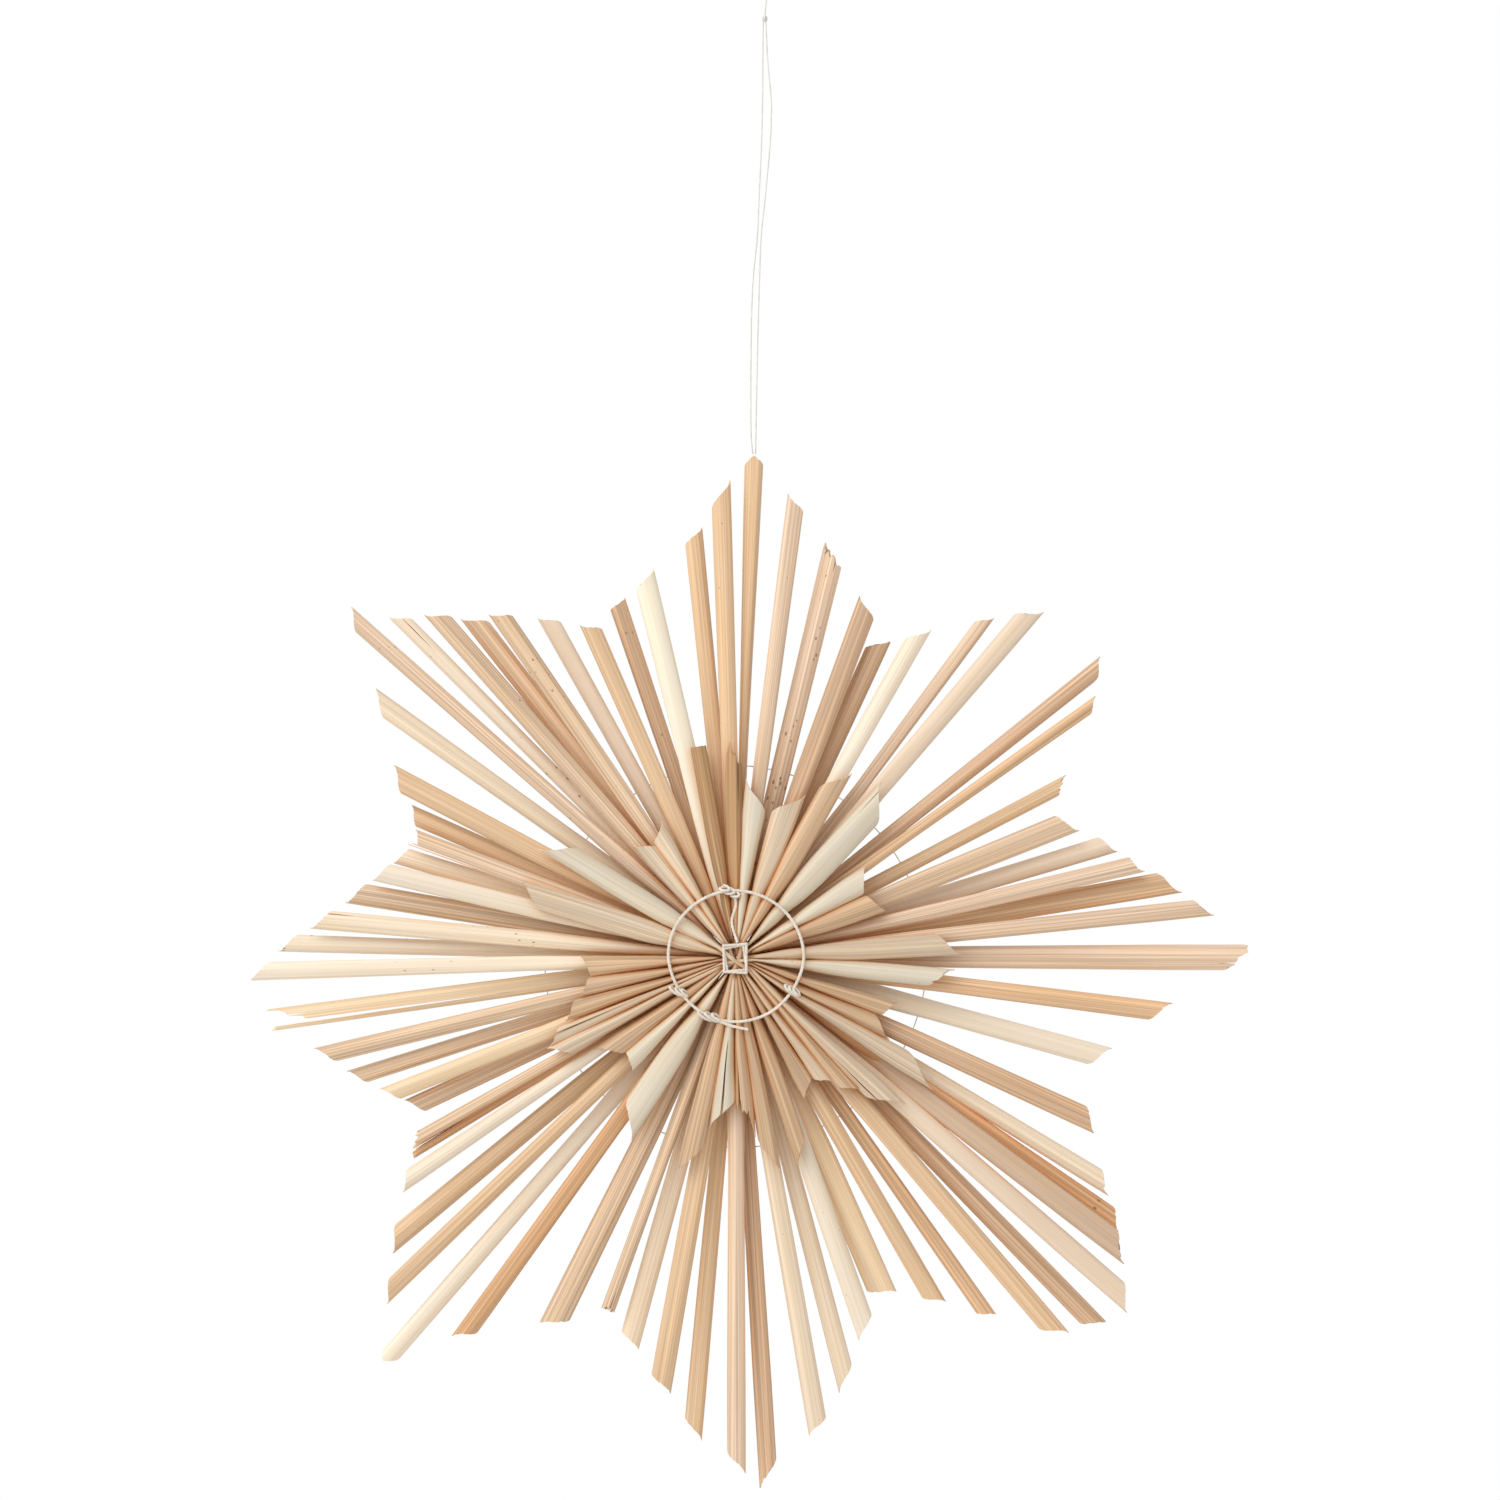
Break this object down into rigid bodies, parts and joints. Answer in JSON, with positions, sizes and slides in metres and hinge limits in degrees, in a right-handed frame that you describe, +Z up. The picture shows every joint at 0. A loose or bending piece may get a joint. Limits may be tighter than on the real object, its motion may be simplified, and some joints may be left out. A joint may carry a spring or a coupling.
{
  "type": "straw star ornament",
  "caption": "Flat pointed star of long and short straws fanned round a thread-bound hub, with a thin thread loop for hanging.",
  "frame": {"origin": "top of the small thread loop that the ornament hangs by", "axes": "+Z up, +Y from the star's front to its back, +X to the right as seen from the front"},
  "size_m": [0.2907, 0.0211, 0.4402],
  "materials": {
    "straw_cream": "pale cream straw, satin",
    "straw_tan": "tan straw, satin",
    "straw_gold": "golden straw, satin",
    "straw_brown": "brown straw, satin",
    "cotton_thread": "off-white twisted cotton"
  },
  "bodies": {
    "root": {"long_straw_01": "straw_tan", "long_straw_02": "straw_tan", "long_straw_03": "straw_gold", "long_straw_04": "straw_brown", "long_straw_05": "straw_tan", "long_straw_06": "straw_cream", "long_straw_07": "straw_tan", "long_straw_08": "straw_cream", "long_straw_09": "straw_brown", "long_straw_10": "straw_tan", "long_straw_11": "straw_gold", "long_straw_12": "straw_gold", "long_straw_13": "straw_tan", "long_straw_14": "straw_tan", "long_straw_15": "straw_brown", "long_straw_16": "straw_brown", "long_straw_17": "straw_cream", "long_straw_18": "straw_tan", "long_straw_19": "straw_cream", "long_straw_20": "straw_tan", "long_straw_21": "straw_tan", "long_straw_22": "straw_tan", "long_straw_23": "straw_tan", "long_straw_24": "straw_tan", "long_straw_25": "straw_cream", "long_straw_26": "straw_cream", "long_straw_27": "straw_gold", "long_straw_28": "straw_tan", "long_straw_29": "straw_cream", "long_straw_30": "straw_cream", "long_straw_31": "straw_cream", "long_straw_32": "straw_cream", "long_straw_33": "straw_brown", "long_straw_34": "straw_cream", "long_straw_35": "straw_gold", "long_straw_36": "straw_tan", "short_straw_01": "straw_cream", "short_straw_02": "straw_cream", "short_straw_03": "straw_tan", "short_straw_04": "straw_cream", "short_straw_05": "straw_cream", "short_straw_06": "straw_tan", "short_straw_07": "straw_tan", "short_straw_08": "straw_cream", "short_straw_09": "straw_gold", "short_straw_10": "straw_tan", "short_straw_11": "straw_tan", "short_straw_12": "straw_tan", "short_straw_13": "straw_gold", "short_straw_14": "straw_cream", "short_straw_15": "straw_cream", "short_straw_16": "straw_gold", "short_straw_17": "straw_tan", "centre_lashing": "cotton_thread", "front_ring_thread": "cotton_thread", "rear_ring_thread": "cotton_thread", "hanger_thread_left": "cotton_thread", "hanger_thread_right": "cotton_thread", "hanger_knot": "cotton_thread", "hanger_loop": "cotton_thread"}
  },
  "joints": []
}
